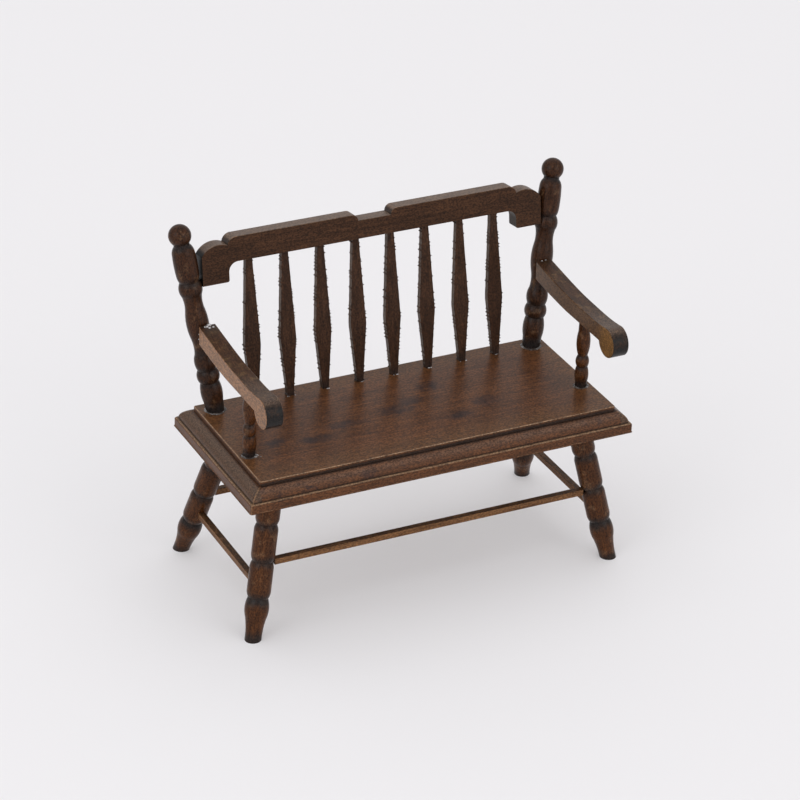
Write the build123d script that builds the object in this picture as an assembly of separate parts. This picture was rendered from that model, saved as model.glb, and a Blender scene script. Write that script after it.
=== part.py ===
from build123d import *
import math
import os

os.makedirs("parts", exist_ok=True)

# A spindle-back pew with open arms, made as a one-twelfth miniature in wood.
# Millimetres.  The pew faces -Y, +X is on the right seen from the front, and
# the floor is z = 0.  The sizes below are set in a frame whose y = 0 is the
# back edge of the seat's raised top; the last section moves every piece so
# that the origin is the middle of the whole pew's footprint on the floor.

# Seat board: one thick board whose edge is moulded on all four sides.
SEAT_WIDTH = 100.0
SEAT_DEPTH = 46.0
SEAT_HEIGHT = 42.65
SEAT_THICKNESS = 6.4
FASCIA_HEIGHT = 2.4
FASCIA_LEDGE = 0.65
FASCIA_ROUND = 0.45
QUIRK_DEPTH = 1.2
QUIRK_LEDGE = 0.3
FRONT_BORDER = 2.84
END_BORDER = 3.46
BACK_BORDER = 3.7
SEAT_CORNER_RADIUS = 0.7
SEAT_UNDERSIDE = SEAT_HEIGHT - SEAT_THICKNESS
SEAT_END = SEAT_WIDTH / 2
SEAT_FRONT = BACK_BORDER - SEAT_DEPTH

# Back frame: posts, spindles and crest rail lie in one leaning plane.
BACK_FOOT_FROM_EDGE = 3.8
BACK_RAKE = 7.486
POST_FROM_END = 7.5
POST_FOOT_X = SEAT_END - POST_FROM_END
POST_SPLAY = 8.366
POST_OUT = math.tan(math.radians(POST_SPLAY))
POST_BACK = math.tan(math.radians(BACK_RAKE))
POST_TENON_RADIUS = 1.45
POST_TENON_LENGTH = 2.7

# Crest rail: heights run up the leaning plane.  Its underside sits on the
# spindles, its other heights are set from that underside, and its ends stop
# short of the splayed posts by a set distance at the lug's lowest point.
SPINDLE_LENGTH = 36.75
CREST_UNDERSIDE = SPINDLE_LENGTH
CREST_THICKNESS = 3.95
CREST_RAIL_DEPTH = 6.21
CREST_TOP = CREST_UNDERSIDE + CREST_RAIL_DEPTH
CREST_DIP_DEPTH = 1.58
CREST_DIP_FLOOR = CREST_TOP - CREST_DIP_DEPTH
CREST_NOTCH_DEPTH = 1.81
CREST_NOTCH = CREST_TOP - CREST_NOTCH_DEPTH
CREST_LOBE_DROP = 1.64
CREST_LOBE_TOP = CREST_TOP - CREST_LOBE_DROP
CREST_SHOULDER_DROP = 3.81
CREST_LOBE_SHOULDER = CREST_TOP - CREST_SHOULDER_DROP
CREST_LUG_DROP = 4.76
CREST_LUG_BOTTOM = CREST_UNDERSIDE - CREST_LUG_DROP
CREST_TENON_RISE = 0.55
CREST_TENON_HEIGHT = CREST_UNDERSIDE + CREST_TENON_RISE
CREST_END_FROM_POST = 2.5
CREST_HALF_LENGTH = POST_FOOT_X + POST_OUT * CREST_LUG_BOTTOM - CREST_END_FROM_POST
CREST_LUG_WIDTH = 6.8
CREST_LUG_INNER_X = CREST_HALF_LENGTH - CREST_LUG_WIDTH
CREST_LOBE_WIDTH = 6.65
CREST_NOTCH_X = CREST_HALF_LENGTH - CREST_LOBE_WIDTH
CREST_STEP_LENGTH = 2.6
CREST_DIP_HALF_LENGTH = 4.3
CREST_DIP_STEP = 1.7
CREST_LUG_FILLET = 2.3
CREST_LUG_CORNER = 0.5
CREST_TENON_RADIUS = 0.95
CREST_TENON_LENGTH = 3.2

# Spindles: flat sawn slats, widest a little below the middle, spread evenly
# between the crest's lugs.
SPINDLE_COUNT = 8
SPINDLE_FROM_LUG = 5.6
SPINDLE_PITCH = 2 * (CREST_LUG_INNER_X - SPINDLE_FROM_LUG) / (SPINDLE_COUNT - 1)
SPINDLE_THICKNESS = 1.5
SPINDLE_END_WIDTH = 1.6
SPINDLE_WIDEST = 4.1
SPINDLE_WIDEST_HEIGHT = 14.67
SPINDLE_TENON = 1.1
SPINDLE_SEAT_TENON = 2.2
SPINDLE_CREST_TENON = 1.8

# Arms: a bar with a dropped, rounded nose, and a small turned post below.
# Heights are set from the flat underside that sits on the arm post, and the
# rear end follows the leaning, splayed back post at the tenon's height.
ARM_POST_HEIGHT = 17.0
ARM_FLAT_BOTTOM = SEAT_HEIGHT + ARM_POST_HEIGHT
ARM_NOSE_RISE = 0.95
ARM_NOSE_Z = ARM_FLAT_BOTTOM + ARM_NOSE_RISE
ARM_REAR_RISE = 1.5
ARM_REAR_BOTTOM = ARM_FLAT_BOTTOM + ARM_REAR_RISE
ARM_REAR_DEPTH = 4.6
ARM_REAR_TOP = ARM_REAR_BOTTOM + ARM_REAR_DEPTH
ARM_WAIST_DEPTH = 4.17
ARM_WAIST_TOP = ARM_FLAT_BOTTOM + ARM_WAIST_DEPTH
ARM_TENON_RISE = 3.75
ARM_TENON_Z = ARM_FLAT_BOTTOM + ARM_TENON_RISE
ARM_NOSE_RADIUS = 3.65
ARM_WIDTH = 4.2
ARM_TENON_RADIUS = 0.95
ARM_TENON_LENGTH = 2.9
ARM_POST_FROM_FRONT = 15.3
ARM_POST_Y = SEAT_FRONT + ARM_POST_FROM_FRONT
ARM_NOSE_FROM_FRONT = 2.7
ARM_NOSE_Y = SEAT_FRONT + ARM_NOSE_FROM_FRONT
ARM_WAIST_BEHIND_POST = 2.5
ARM_WAIST_Y = ARM_POST_Y + ARM_WAIST_BEHIND_POST
ARM_FLAT_BEHIND_POST = 7.0
ARM_FLAT_FROM_Y = ARM_POST_Y + ARM_FLAT_BEHIND_POST
ARM_RISE = ARM_TENON_Z - SEAT_HEIGHT
ARM_REAR_FROM_POST = 2.88
ARM_REAR_Y = POST_BACK * ARM_RISE - BACK_FOOT_FROM_EDGE - ARM_REAR_FROM_POST
ARM_UP_POST = ARM_RISE / math.cos(math.radians(BACK_RAKE))
ARM_INSIDE_POST = 2.98
ARM_INNER_X = POST_FOOT_X + POST_OUT * ARM_UP_POST - ARM_INSIDE_POST
ARM_POST_FROM_INSIDE = 1.25
ARM_POST_X = ARM_INNER_X + ARM_POST_FROM_INSIDE
ARM_POST_FOOT_TENON_RADIUS = 0.9
ARM_POST_FOOT_TENON = 3.0
ARM_POST_TOP_TENON_RADIUS = 0.75
ARM_POST_TOP_TENON = 2.4

# Legs: where each axis meets the floor, and how far it leans per unit height.
LEG_BODY_RADIUS = 2.87
LEG_GROOVE_DEPTH = 0.47
LEG_GROOVE_RADIUS = LEG_BODY_RADIUS - LEG_GROOVE_DEPTH
FRONT_LEG_FROM_END = 2.32
FRONT_LEG_FROM_FRONT = 3.48
FRONT_LEG_FOOT_X = SEAT_END - FRONT_LEG_FROM_END
FRONT_LEG_FOOT_Y = SEAT_FRONT + FRONT_LEG_FROM_FRONT
FRONT_LEG_IN = 0.1988
FRONT_LEG_BACK = 0.1827
BACK_LEG_FROM_END = 2.66
BACK_LEG_BEHIND_SEAT = 2.16
BACK_LEG_FOOT_X = SEAT_END - BACK_LEG_FROM_END
BACK_LEG_FOOT_Y = BACK_BORDER + BACK_LEG_BEHIND_SEAT
BACK_LEG_IN = 0.1891
BACK_LEG_FORWARD = 0.3249
LEG_TENON_RADIUS = 1.6
LEG_SOCKET_COVER = 2.5
LEG_TENON_LENGTH = SEAT_THICKNESS - LEG_SOCKET_COVER

# Stretchers: thin square bars with round tenons.
STRETCHER_SIZE = 1.62
SIDE_STRETCHER_Z = 12.65
FRONT_STRETCHER_Z = 18.2
REAR_STRETCHER_Z = 17.8
STRETCHER_TENON_RADIUS = 0.65
STRETCHER_TENON_LENGTH = 1.5

# Fits.
TENON_CLEARANCE = 0.06
TENON_END_CLEARANCE = 0.3
COPE_CLEARANCE = 0.12


def leaning_frame():
    """Plane of the back: local x along the pew, local y up the lean."""
    rake = math.radians(BACK_RAKE)
    origin = (0, -BACK_FOOT_FROM_EDGE, SEAT_HEIGHT)
    facing = (0, -math.cos(rake), math.sin(rake))
    return Plane(origin=origin, x_dir=(1, 0, 0), z_dir=facing)


def axis_plane(origin, direction):
    """Plane whose local z runs along a given axis."""
    return Plane(origin=origin, z_dir=direction)


def rod(plane, radius, start, end):
    """Round bar along a plane's local z, from start to end."""
    bar = Cylinder(radius, end - start, align=(Align.CENTER, Align.CENTER, Align.MIN))
    return plane * Pos(0, 0, start) * bar


def turning(start, steps, grow=0.0):
    """Lathe a shape about z.

    start is (height, radius).  A step of two numbers is a straight cut to
    that height and radius; a step of four is an arc through the first pair
    to the second.  grow fattens the whole turning, for coping cuts.
    """
    here = (start[1] + grow, start[0])
    edges = [Line((0, start[0]), here)]
    for step in steps:
        there = (step[-1] + grow, step[-2])
        if len(step) == 2:
            edges.append(Line(here, there))
        else:
            middle = (step[1] + grow, step[0])
            edges.append(ThreePointArc(here, middle, there))
        here = there
    if here[0] > 0:
        edges.append(Line(here, (0, here[1])))
    edges.append(Line((0, here[1]), (0, start[0])))
    outline = make_face(edges)
    return revolve(Plane.XZ * outline, Axis.Z)


# ---------------------------------------------------------------- leg turning

LEG_FOOT_RADIUS = 2.0
LEG_ANKLE_HEIGHT = 5.3
LEG_ANKLE_RADIUS = 2.5
LOW_GROOVE = 10.4
MIDDLE_GROOVE = 19.4
HIGH_GROOVE = 28.6
GROOVE_SHOULDER = 1.9
FOOT_EXTRA = 1.0
LEG_TOP_EXTRA = 2.5


def groove_to_body(groove, direction):
    """Rounded shoulder between a groove and the straight part of the leg."""
    rise = LEG_BODY_RADIUS - LEG_GROOVE_RADIUS
    middle = (groove + direction * GROOVE_SHOULDER * 0.4, LEG_GROOVE_RADIUS + rise * 0.72)
    body = (groove + direction * GROOVE_SHOULDER, LEG_BODY_RADIUS)
    if direction > 0:
        return middle + body
    return middle + (groove, LEG_GROOVE_RADIUS)


def leg_blank(foot, lean, grow=0.0):
    """Turned leg along its axis, cut flat at the floor and under the seat."""
    axis = Vector(*lean).normalized()
    length = SEAT_UNDERSIDE / axis.Z
    steps = [
        (0, LEG_FOOT_RADIUS),
        (2.9, 2.12, LEG_ANKLE_HEIGHT, LEG_ANKLE_RADIUS),
        (8.0, LEG_BODY_RADIUS + 0.03, LOW_GROOVE, LEG_GROOVE_RADIUS),
        groove_to_body(LOW_GROOVE, 1),
        (MIDDLE_GROOVE - GROOVE_SHOULDER, LEG_BODY_RADIUS),
        groove_to_body(MIDDLE_GROOVE, -1),
        groove_to_body(MIDDLE_GROOVE, 1),
        (HIGH_GROOVE - GROOVE_SHOULDER, LEG_BODY_RADIUS),
        groove_to_body(HIGH_GROOVE, -1),
        groove_to_body(HIGH_GROOVE, 1),
        (length + LEG_TOP_EXTRA, LEG_BODY_RADIUS),
    ]
    turned = axis_plane(foot, lean) * turning((-FOOT_EXTRA, LEG_FOOT_RADIUS), steps, grow)
    keep = Box(400, 400, SEAT_UNDERSIDE, align=(Align.CENTER, Align.CENTER, Align.MIN))
    return turned & keep


def leg_tenon(foot, lean, clearance=0.0, end_clearance=0.0):
    """Round tenon that runs on from the leg into the seat."""
    axis = Vector(*lean).normalized()
    top = SEAT_UNDERSIDE / axis.Z
    plane = axis_plane(foot, lean)
    bar = rod(plane, LEG_TENON_RADIUS + clearance, top - 3.0, top + LEG_TENON_LENGTH + end_clearance)
    above = Pos(0, 0, SEAT_UNDERSIDE) * Box(400, 400, 50, align=(Align.CENTER, Align.CENTER, Align.MIN))
    return bar & above


FRONT_FOOT = (FRONT_LEG_FOOT_X, FRONT_LEG_FOOT_Y, 0)
FRONT_LEAN = (-FRONT_LEG_IN, FRONT_LEG_BACK, 1)
BACK_FOOT = (BACK_LEG_FOOT_X, BACK_LEG_FOOT_Y, 0)
BACK_LEAN = (-BACK_LEG_IN, -BACK_LEG_FORWARD, 1)


def axis_point(foot, lean, z):
    """Point on a leg's axis at a height."""
    return (foot[0] + lean[0] * z, foot[1] + lean[1] * z, z)


def mirrored(shape):
    """The same piece for the other end of the pew."""
    return mirror(shape, about=Plane.YZ)


# ----------------------------------------------------------------- stretchers


def bar_between(p, q, size):
    """Square bar with its centre line from p to q, two faces level."""
    run = Vector(*q) - Vector(*p)
    level = Vector(0, 0, 1).cross(run).normalized()
    plane = Plane(origin=p, x_dir=(level.X, level.Y, level.Z), z_dir=(run.X, run.Y, run.Z))
    block = Box(size, size, run.length, align=(Align.CENTER, Align.CENTER, Align.MIN))
    return plane * block


def tenon_stub(leg_point, toward, reach, radius):
    """Round stub from outside a leg, running to reach past its surface."""
    run = Vector(*leg_point) - Vector(*toward)
    plane = axis_plane(leg_point, (run.X, run.Y, run.Z))
    inner = LEG_BODY_RADIUS - reach
    return rod(plane, radius, -(LEG_BODY_RADIUS + 1.5), -inner)


def stretcher(leg_a, leg_b, point_a, point_b):
    """Square bar coped to two legs, with a round tenon into each."""
    bar = bar_between(point_a, point_b, STRETCHER_SIZE)
    bar = bar - leg_a - leg_b
    bar = max(bar.solids(), key=lambda s: s.volume)
    stub_a = tenon_stub(point_a, point_b, STRETCHER_TENON_LENGTH, STRETCHER_TENON_RADIUS)
    stub_b = tenon_stub(point_b, point_a, STRETCHER_TENON_LENGTH, STRETCHER_TENON_RADIUS)
    return bar + stub_a + stub_b


def stretcher_socket(point, toward):
    """Hole in a leg for a stretcher's tenon."""
    reach = STRETCHER_TENON_LENGTH + TENON_END_CLEARANCE
    return tenon_stub(point, toward, reach, STRETCHER_TENON_RADIUS + TENON_CLEARANCE)


FRONT_AT_SIDE = axis_point(FRONT_FOOT, FRONT_LEAN, SIDE_STRETCHER_Z)
BACK_AT_SIDE = axis_point(BACK_FOOT, BACK_LEAN, SIDE_STRETCHER_Z)
FRONT_AT_CROSS = axis_point(FRONT_FOOT, FRONT_LEAN, FRONT_STRETCHER_Z)
BACK_AT_CROSS = axis_point(BACK_FOOT, BACK_LEAN, REAR_STRETCHER_Z)


def other_end(point):
    return (-point[0], point[1], point[2])


def make_leg_front():
    leg = leg_blank(FRONT_FOOT, FRONT_LEAN) + leg_tenon(FRONT_FOOT, FRONT_LEAN)
    leg = leg - stretcher_socket(FRONT_AT_SIDE, BACK_AT_SIDE)
    return leg - stretcher_socket(FRONT_AT_CROSS, other_end(FRONT_AT_CROSS))


def make_leg_back():
    leg = leg_blank(BACK_FOOT, BACK_LEAN) + leg_tenon(BACK_FOOT, BACK_LEAN)
    leg = leg - stretcher_socket(BACK_AT_SIDE, FRONT_AT_SIDE)
    return leg - stretcher_socket(BACK_AT_CROSS, other_end(BACK_AT_CROSS))


def make_stretcher_side():
    front = leg_blank(FRONT_FOOT, FRONT_LEAN, COPE_CLEARANCE)
    back = leg_blank(BACK_FOOT, BACK_LEAN, COPE_CLEARANCE)
    return stretcher(front, back, FRONT_AT_SIDE, BACK_AT_SIDE)


def make_stretcher_cross(foot, lean, point):
    leg = leg_blank(foot, lean, COPE_CLEARANCE)
    return stretcher(leg, mirrored(leg), point, other_end(point))


# ------------------------------------------------------------------ back post

# Heights along the post, as drawn for a rail TURNING_RAIL above the seat; the
# whole turning stretches with the rail, so its barrel stays beside the crest.
TURNING_RAIL = 36.75
BALL_CENTRE = 45.35
BALL_RADIUS = 2.72
NECK_RADIUS = 1.93
POST_TURNING = [
    (0, 2.2),
    (2.5, 2.37),
    (5.0, 2.65, 7.6, 2.24),
    (9.3, 2.77, 10.9, 2.24),
    (12.9, 2.67, 15.0, 2.2),
    (17.4, 2.04, 19.3, 2.3),
    (22.6, 2.71, 26.2, 2.38),
    (28.4, 2.19, 30.2, 2.44),
    (31.8, 2.84, 33.7, 2.28),
    (34.3, 2.53, 35.3, 2.74),
    (38.2, 2.84, 41.0, 2.72),
    (42.1, 2.42, 42.8, NECK_RADIUS),
]


def stretched(step, factor):
    """A turning step with its heights, the even numbers, made taller."""
    return tuple(n * factor if i % 2 == 0 else n for i, n in enumerate(step))


def post_axis():
    """Splayed axis of the right-hand post, in world coordinates."""
    splay = math.radians(POST_SPLAY)
    frame = leaning_frame()
    up = frame.y_dir * math.cos(splay) + frame.x_dir * math.sin(splay)
    foot = (POST_FOOT_X, -BACK_FOOT_FROM_EDGE, SEAT_HEIGHT)
    return axis_plane(foot, (up.X, up.Y, up.Z))


def post_blank(grow=0.0):
    """Turned post: ringed foot, two long swells, a barrel and a ball."""
    factor = CREST_UNDERSIDE / TURNING_RAIL
    ball = BALL_CENTRE * factor
    neck_height = ball - math.sqrt(BALL_RADIUS**2 - NECK_RADIUS**2)
    steps = [stretched(step, factor) for step in POST_TURNING]
    steps += [(neck_height, NECK_RADIUS), (ball, BALL_RADIUS, ball + BALL_RADIUS, 0)]
    return post_axis() * turning((-1.0, 2.2), steps, grow)


def above_seat():
    return Pos(0, 0, SEAT_HEIGHT) * Box(400, 400, 200, align=(Align.CENTER, Align.CENTER, Align.MIN))


def post_tenon(clearance=0.0, end_clearance=0.0):
    reach = POST_TENON_LENGTH + end_clearance
    return rod(post_axis(), POST_TENON_RADIUS + clearance, -reach, 1.0)


def crest_tenon_plane():
    """Axis of the crest's end tenon, pointing out of the end."""
    frame = leaning_frame()
    origin = frame.from_local_coords((CREST_HALF_LENGTH, CREST_TENON_HEIGHT, 0))
    return axis_plane((origin.X, origin.Y, origin.Z), (1, 0, 0))


def arm_tenon_plane():
    """Axis of the arm's rear tenon, pointing back into the post."""
    x = ARM_INNER_X + ARM_WIDTH / 2
    return axis_plane((x, ARM_REAR_Y, ARM_TENON_Z), (0, 1, 0))


def make_back_post():
    post = (post_blank() & above_seat()) + post_tenon()
    crest_reach = CREST_TENON_LENGTH + TENON_END_CLEARANCE
    crest_hole = rod(crest_tenon_plane(), CREST_TENON_RADIUS + TENON_CLEARANCE, -1.0, crest_reach)
    arm_reach = ARM_TENON_LENGTH + TENON_END_CLEARANCE
    arm_hole = rod(arm_tenon_plane(), ARM_TENON_RADIUS + TENON_CLEARANCE, -1.0, arm_reach)
    return post - crest_hole - arm_hole


# ------------------------------------------------------------------- spindles


def spindle_positions():
    first = -SPINDLE_PITCH * (SPINDLE_COUNT - 1) / 2
    return [first + SPINDLE_PITCH * i for i in range(SPINDLE_COUNT)]


def slot(x, low, high, size):
    """Square tenon or its mortise, in the leaning plane."""
    block = Box(size, high - low, size, align=(Align.CENTER, Align.MIN, Align.CENTER))
    return leaning_frame() * Pos(x, low, 0) * block


def make_spindle(x):
    half_end = SPINDLE_END_WIDTH / 2
    half_wide = SPINDLE_WIDEST / 2
    below = -1.0
    outline = Polyline(
        (half_end, below),
        (half_end, 0),
        (half_wide, SPINDLE_WIDEST_HEIGHT),
        (half_end, CREST_UNDERSIDE),
        (-half_end, CREST_UNDERSIDE),
        (-half_wide, SPINDLE_WIDEST_HEIGHT),
        (-half_end, 0),
        (-half_end, below),
        close=True,
    )
    slat = extrude(make_face(outline), SPINDLE_THICKNESS / 2, both=True)
    slat = (leaning_frame() * Pos(x, 0, 0) * slat) & above_seat()
    foot = slot(x, -SPINDLE_SEAT_TENON, 1.0, SPINDLE_TENON)
    head = slot(x, CREST_UNDERSIDE - 1.0, CREST_UNDERSIDE + SPINDLE_CREST_TENON, SPINDLE_TENON)
    return slat + foot + head


# ----------------------------------------------------------------- crest rail


def crest_half_outline():
    """Right half of the crest's outline, from the middle of the dip."""
    step_x = CREST_NOTCH_X - CREST_STEP_LENGTH
    dip_x = CREST_DIP_HALF_LENGTH + CREST_DIP_STEP
    diagonal = math.sqrt(0.5)
    dip_bend = (dip_x - CREST_DIP_STEP * diagonal, CREST_TOP - (CREST_TOP - CREST_DIP_FLOOR) * (1 - diagonal))
    step_bend = (step_x + CREST_STEP_LENGTH * diagonal, CREST_TOP - (CREST_TOP - CREST_NOTCH) * (1 - diagonal))
    lobe_bend = (CREST_NOTCH_X + 4.3, CREST_LOBE_TOP - 0.14)
    corner = CREST_LUG_CORNER
    fillet = CREST_LUG_FILLET
    inner = CREST_LUG_INNER_X
    bottom = CREST_LUG_BOTTOM
    corner_bend = (inner + corner * (1 - diagonal), bottom + corner * (1 - diagonal))
    fillet_bend = (inner - fillet * (1 - diagonal), CREST_UNDERSIDE - fillet * (1 - diagonal))
    return [
        Line((0, CREST_DIP_FLOOR), (CREST_DIP_HALF_LENGTH, CREST_DIP_FLOOR)),
        ThreePointArc((CREST_DIP_HALF_LENGTH, CREST_DIP_FLOOR), dip_bend, (dip_x, CREST_TOP)),
        Line((dip_x, CREST_TOP), (step_x, CREST_TOP)),
        ThreePointArc((step_x, CREST_TOP), step_bend, (CREST_NOTCH_X, CREST_NOTCH)),
        ThreePointArc((CREST_NOTCH_X, CREST_NOTCH), lobe_bend, (CREST_HALF_LENGTH, CREST_LOBE_SHOULDER)),
        Line((CREST_HALF_LENGTH, CREST_LOBE_SHOULDER), (CREST_HALF_LENGTH, bottom)),
        Line((CREST_HALF_LENGTH, bottom), (inner + corner, bottom)),
        ThreePointArc((inner + corner, bottom), corner_bend, (inner, bottom + corner)),
        Line((inner, bottom + corner), (inner, CREST_UNDERSIDE - fillet)),
        ThreePointArc((inner, CREST_UNDERSIDE - fillet), fillet_bend, (inner - fillet, CREST_UNDERSIDE)),
        Line((inner - fillet, CREST_UNDERSIDE), (0, CREST_UNDERSIDE)),
        Line((0, CREST_UNDERSIDE), (0, CREST_DIP_FLOOR)),
    ]


def make_crest_rail():
    half = extrude(make_face(crest_half_outline()), CREST_THICKNESS / 2, both=True)
    rail = leaning_frame() * half - post_blank(COPE_CLEARANCE)
    rail = rail + rod(crest_tenon_plane(), CREST_TENON_RADIUS, -1.0, CREST_TENON_LENGTH)
    rail = rail + mirrored(rail)
    size = SPINDLE_TENON + 2 * TENON_CLEARANCE
    top = CREST_UNDERSIDE + SPINDLE_CREST_TENON + TENON_END_CLEARANCE
    for x in spindle_positions():
        rail = rail - slot(x, CREST_UNDERSIDE - 1.0, top, size)
    return rail


# ----------------------------------------------------------------------- arms


def make_arm():
    """Bar arm: slopes down to a waist, then out to a dropped round nose."""
    nose_top = (ARM_NOSE_Y + 0.6, ARM_NOSE_Z + math.sqrt(ARM_NOSE_RADIUS**2 - 0.36))
    rise = ARM_NOSE_Z - ARM_FLAT_BOTTOM
    nose_back = (ARM_NOSE_Y + math.sqrt(ARM_NOSE_RADIUS**2 - rise**2), ARM_FLAT_BOTTOM)
    slant = ARM_NOSE_RADIUS * math.sqrt(0.5)
    nose_bend = (ARM_NOSE_Y - slant, ARM_NOSE_Z - slant)
    rear_top = (ARM_REAR_Y, ARM_REAR_TOP)
    rear_bottom = (ARM_REAR_Y, ARM_REAR_BOTTOM)
    flat_start = (ARM_FLAT_FROM_Y, ARM_FLAT_BOTTOM)
    underside_bend = (
        (ARM_FLAT_FROM_Y + ARM_REAR_Y) / 2,
        ARM_FLAT_BOTTOM + (ARM_REAR_BOTTOM - ARM_FLAT_BOTTOM) * 0.36,
    )
    outline = [
        Spline(rear_top, (ARM_WAIST_Y, ARM_WAIST_TOP), nose_top, tangents=[(-1, -0.11), (-1, 0.16)]),
        ThreePointArc(nose_top, nose_bend, nose_back),
        Line(nose_back, flat_start),
        ThreePointArc(flat_start, underside_bend, rear_bottom),
        Line(rear_bottom, rear_top),
    ]
    profile = Plane.YZ * make_face(outline)
    bar = Pos(ARM_INNER_X, 0, 0) * extrude(profile, ARM_WIDTH)
    bar = bar + rod(arm_tenon_plane(), ARM_TENON_RADIUS, -1.0, ARM_TENON_LENGTH)
    reach = ARM_POST_TOP_TENON + TENON_END_CLEARANCE
    below = axis_plane((ARM_POST_X, ARM_POST_Y, ARM_FLAT_BOTTOM), (0, 0, 1))
    return bar - rod(below, ARM_POST_TOP_TENON_RADIUS + TENON_CLEARANCE, -1.0, reach)


def make_arm_post():
    """Small turned post between the seat and the underside of the arm."""
    height = ARM_POST_HEIGHT
    shoulder = height - 2.2
    steps = [
        (1.3, 1.46),
        (3.6, 1.69, 5.45, 1.32),
        (6.8, 1.65, 8.4, 1.15),
        ((8.4 + shoulder) / 2, 1.69, shoulder, 1.38),
        (height, 1.32),
    ]
    foot = axis_plane((ARM_POST_X, ARM_POST_Y, SEAT_HEIGHT), (0, 0, 1))
    post = foot * turning((0, 1.48), steps)
    post = post + rod(foot, ARM_POST_FOOT_TENON_RADIUS, -ARM_POST_FOOT_TENON, 1.0)
    return post + rod(foot, ARM_POST_TOP_TENON_RADIUS, height - 1.0, height + ARM_POST_TOP_TENON)


# ----------------------------------------------------------------------- seat


def moulded_edge(outer, border, side):
    """Section of the moulded edge, from the top surface down to the corner.

    The edge drops as a small quirk, swells out as an ovolo, and ends on a
    ledge and a flat fascia.  outer is the distance of the fascia from the
    frame's zero and side is +1 or -1, the way the edge faces.
    """
    inner = outer - border
    quirk = SEAT_HEIGHT - QUIRK_DEPTH
    ledge = SEAT_UNDERSIDE + FASCIA_HEIGHT
    start = (inner + QUIRK_LEDGE, quirk)
    end = (outer - FASCIA_LEDGE, ledge)
    bend = (start[0] + (end[0] - start[0]) * 0.68, end[1] + (start[1] - end[1]) * 0.6)
    turn = (outer - FASCIA_ROUND, ledge)
    diagonal = FASCIA_ROUND * (1 - math.sqrt(0.5))
    turn_bend = (outer - diagonal, ledge - diagonal)
    face = (outer, ledge - FASCIA_ROUND)

    def at(point):
        return (side * point[0], point[1])

    return [
        Line(at((inner, SEAT_HEIGHT)), at((inner, quirk))),
        Line(at((inner, quirk)), at(start)),
        ThreePointArc(at(start), at(bend), at(end)),
        Line(at(end), at(turn)),
        ThreePointArc(at(turn), at(turn_bend), at(face)),
        Line(at(face), at((outer, SEAT_UNDERSIDE))),
    ]


def board_section(near, near_border, far, far_border):
    """Section of the board between two moulded edges, at -near and +far."""
    edges = moulded_edge(near, near_border, -1) + moulded_edge(far, far_border, 1)
    edges.append(Line((-near, SEAT_UNDERSIDE), (far, SEAT_UNDERSIDE)))
    edges.append(Line((near_border - near, SEAT_HEIGHT), (far - far_border, SEAT_HEIGHT)))
    return make_face(edges)


def make_seat():
    """Board whose mouldings meet in mitres, with blind sockets both ways."""
    half = SEAT_WIDTH / 2
    front_edge = SEAT_DEPTH - BACK_BORDER
    across = extrude(Plane.YZ * board_section(front_edge, FRONT_BORDER, BACK_BORDER, BACK_BORDER), half, both=True)
    along = extrude(Plane.XZ * board_section(half, END_BORDER, half, END_BORDER), SEAT_DEPTH, both=True)
    board = across & along
    plan = Pos(0, BACK_BORDER - SEAT_DEPTH / 2) * RectangleRounded(SEAT_WIDTH, SEAT_DEPTH, SEAT_CORNER_RADIUS)
    board = board & extrude(plan, SEAT_HEIGHT)

    clear = TENON_CLEARANCE
    deep = TENON_END_CLEARANCE
    foot = axis_plane((ARM_POST_X, ARM_POST_Y, SEAT_HEIGHT), (0, 0, 1))
    sockets = [
        leg_tenon(FRONT_FOOT, FRONT_LEAN, clear, deep),
        leg_tenon(BACK_FOOT, BACK_LEAN, clear, deep),
        post_tenon(clear, deep),
        rod(foot, ARM_POST_FOOT_TENON_RADIUS + clear, -(ARM_POST_FOOT_TENON + deep), 1.0),
    ]
    for socket in sockets:
        board = board - socket - mirrored(socket)
    size = SPINDLE_TENON + 2 * clear
    for x in spindle_positions():
        board = board - slot(x, -(SPINDLE_SEAT_TENON + deep), 1.0, size)
    return board


# ------------------------------------------------------------------- assembly


def make_pieces():
    """Every piece by name.  Left is -X, the left end seen from the front."""
    pieces = {"seat": make_seat(), "crest_rail": make_crest_rail()}
    for number, x in enumerate(spindle_positions(), start=1):
        pieces[f"spindle_{number}"] = make_spindle(x)
    pairs = {
        "back_post": make_back_post(),
        "arm": make_arm(),
        "arm_post": make_arm_post(),
        "leg_front": make_leg_front(),
        "leg_back": make_leg_back(),
        "stretcher": make_stretcher_side(),
    }
    for name, piece in pairs.items():
        pieces[f"{name}_right"] = piece
        pieces[f"{name}_left"] = mirrored(piece)
    pieces["stretcher_front"] = make_stretcher_cross(FRONT_FOOT, FRONT_LEAN, FRONT_AT_CROSS)
    pieces["stretcher_rear"] = make_stretcher_cross(BACK_FOOT, BACK_LEAN, BACK_AT_CROSS)
    return pieces


pieces = make_pieces()
boxes = [piece.bounding_box() for piece in pieces.values()]
front = min(box.min.Y for box in boxes)
back = max(box.max.Y for box in boxes)
centre = Pos(0, -(front + back) / 2, 0)
for name, piece in pieces.items():
    export_step(centre * piece, f"parts/{name}.step")
print(f"{len(pieces)} pieces, shift in y {-(front + back) / 2:.4f}")
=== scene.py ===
# %% [markdown]
# # A spindle-back pew in miniature
# The pew stands on a pale table: a moulded seat board, a leaning back with
# eight flat spindles under a shaped crest, two bar arms, and turned posts and
# legs. The turned pieces are lathed solids already, so here they only get
# their finish. The sawn pieces are made again with softened, worn edges,
# because that wear is what makes stained wood look handled.

# %% Load the frame
import bmesh
import bpy
import math
import random
from mathutils import Matrix, Vector


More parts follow.
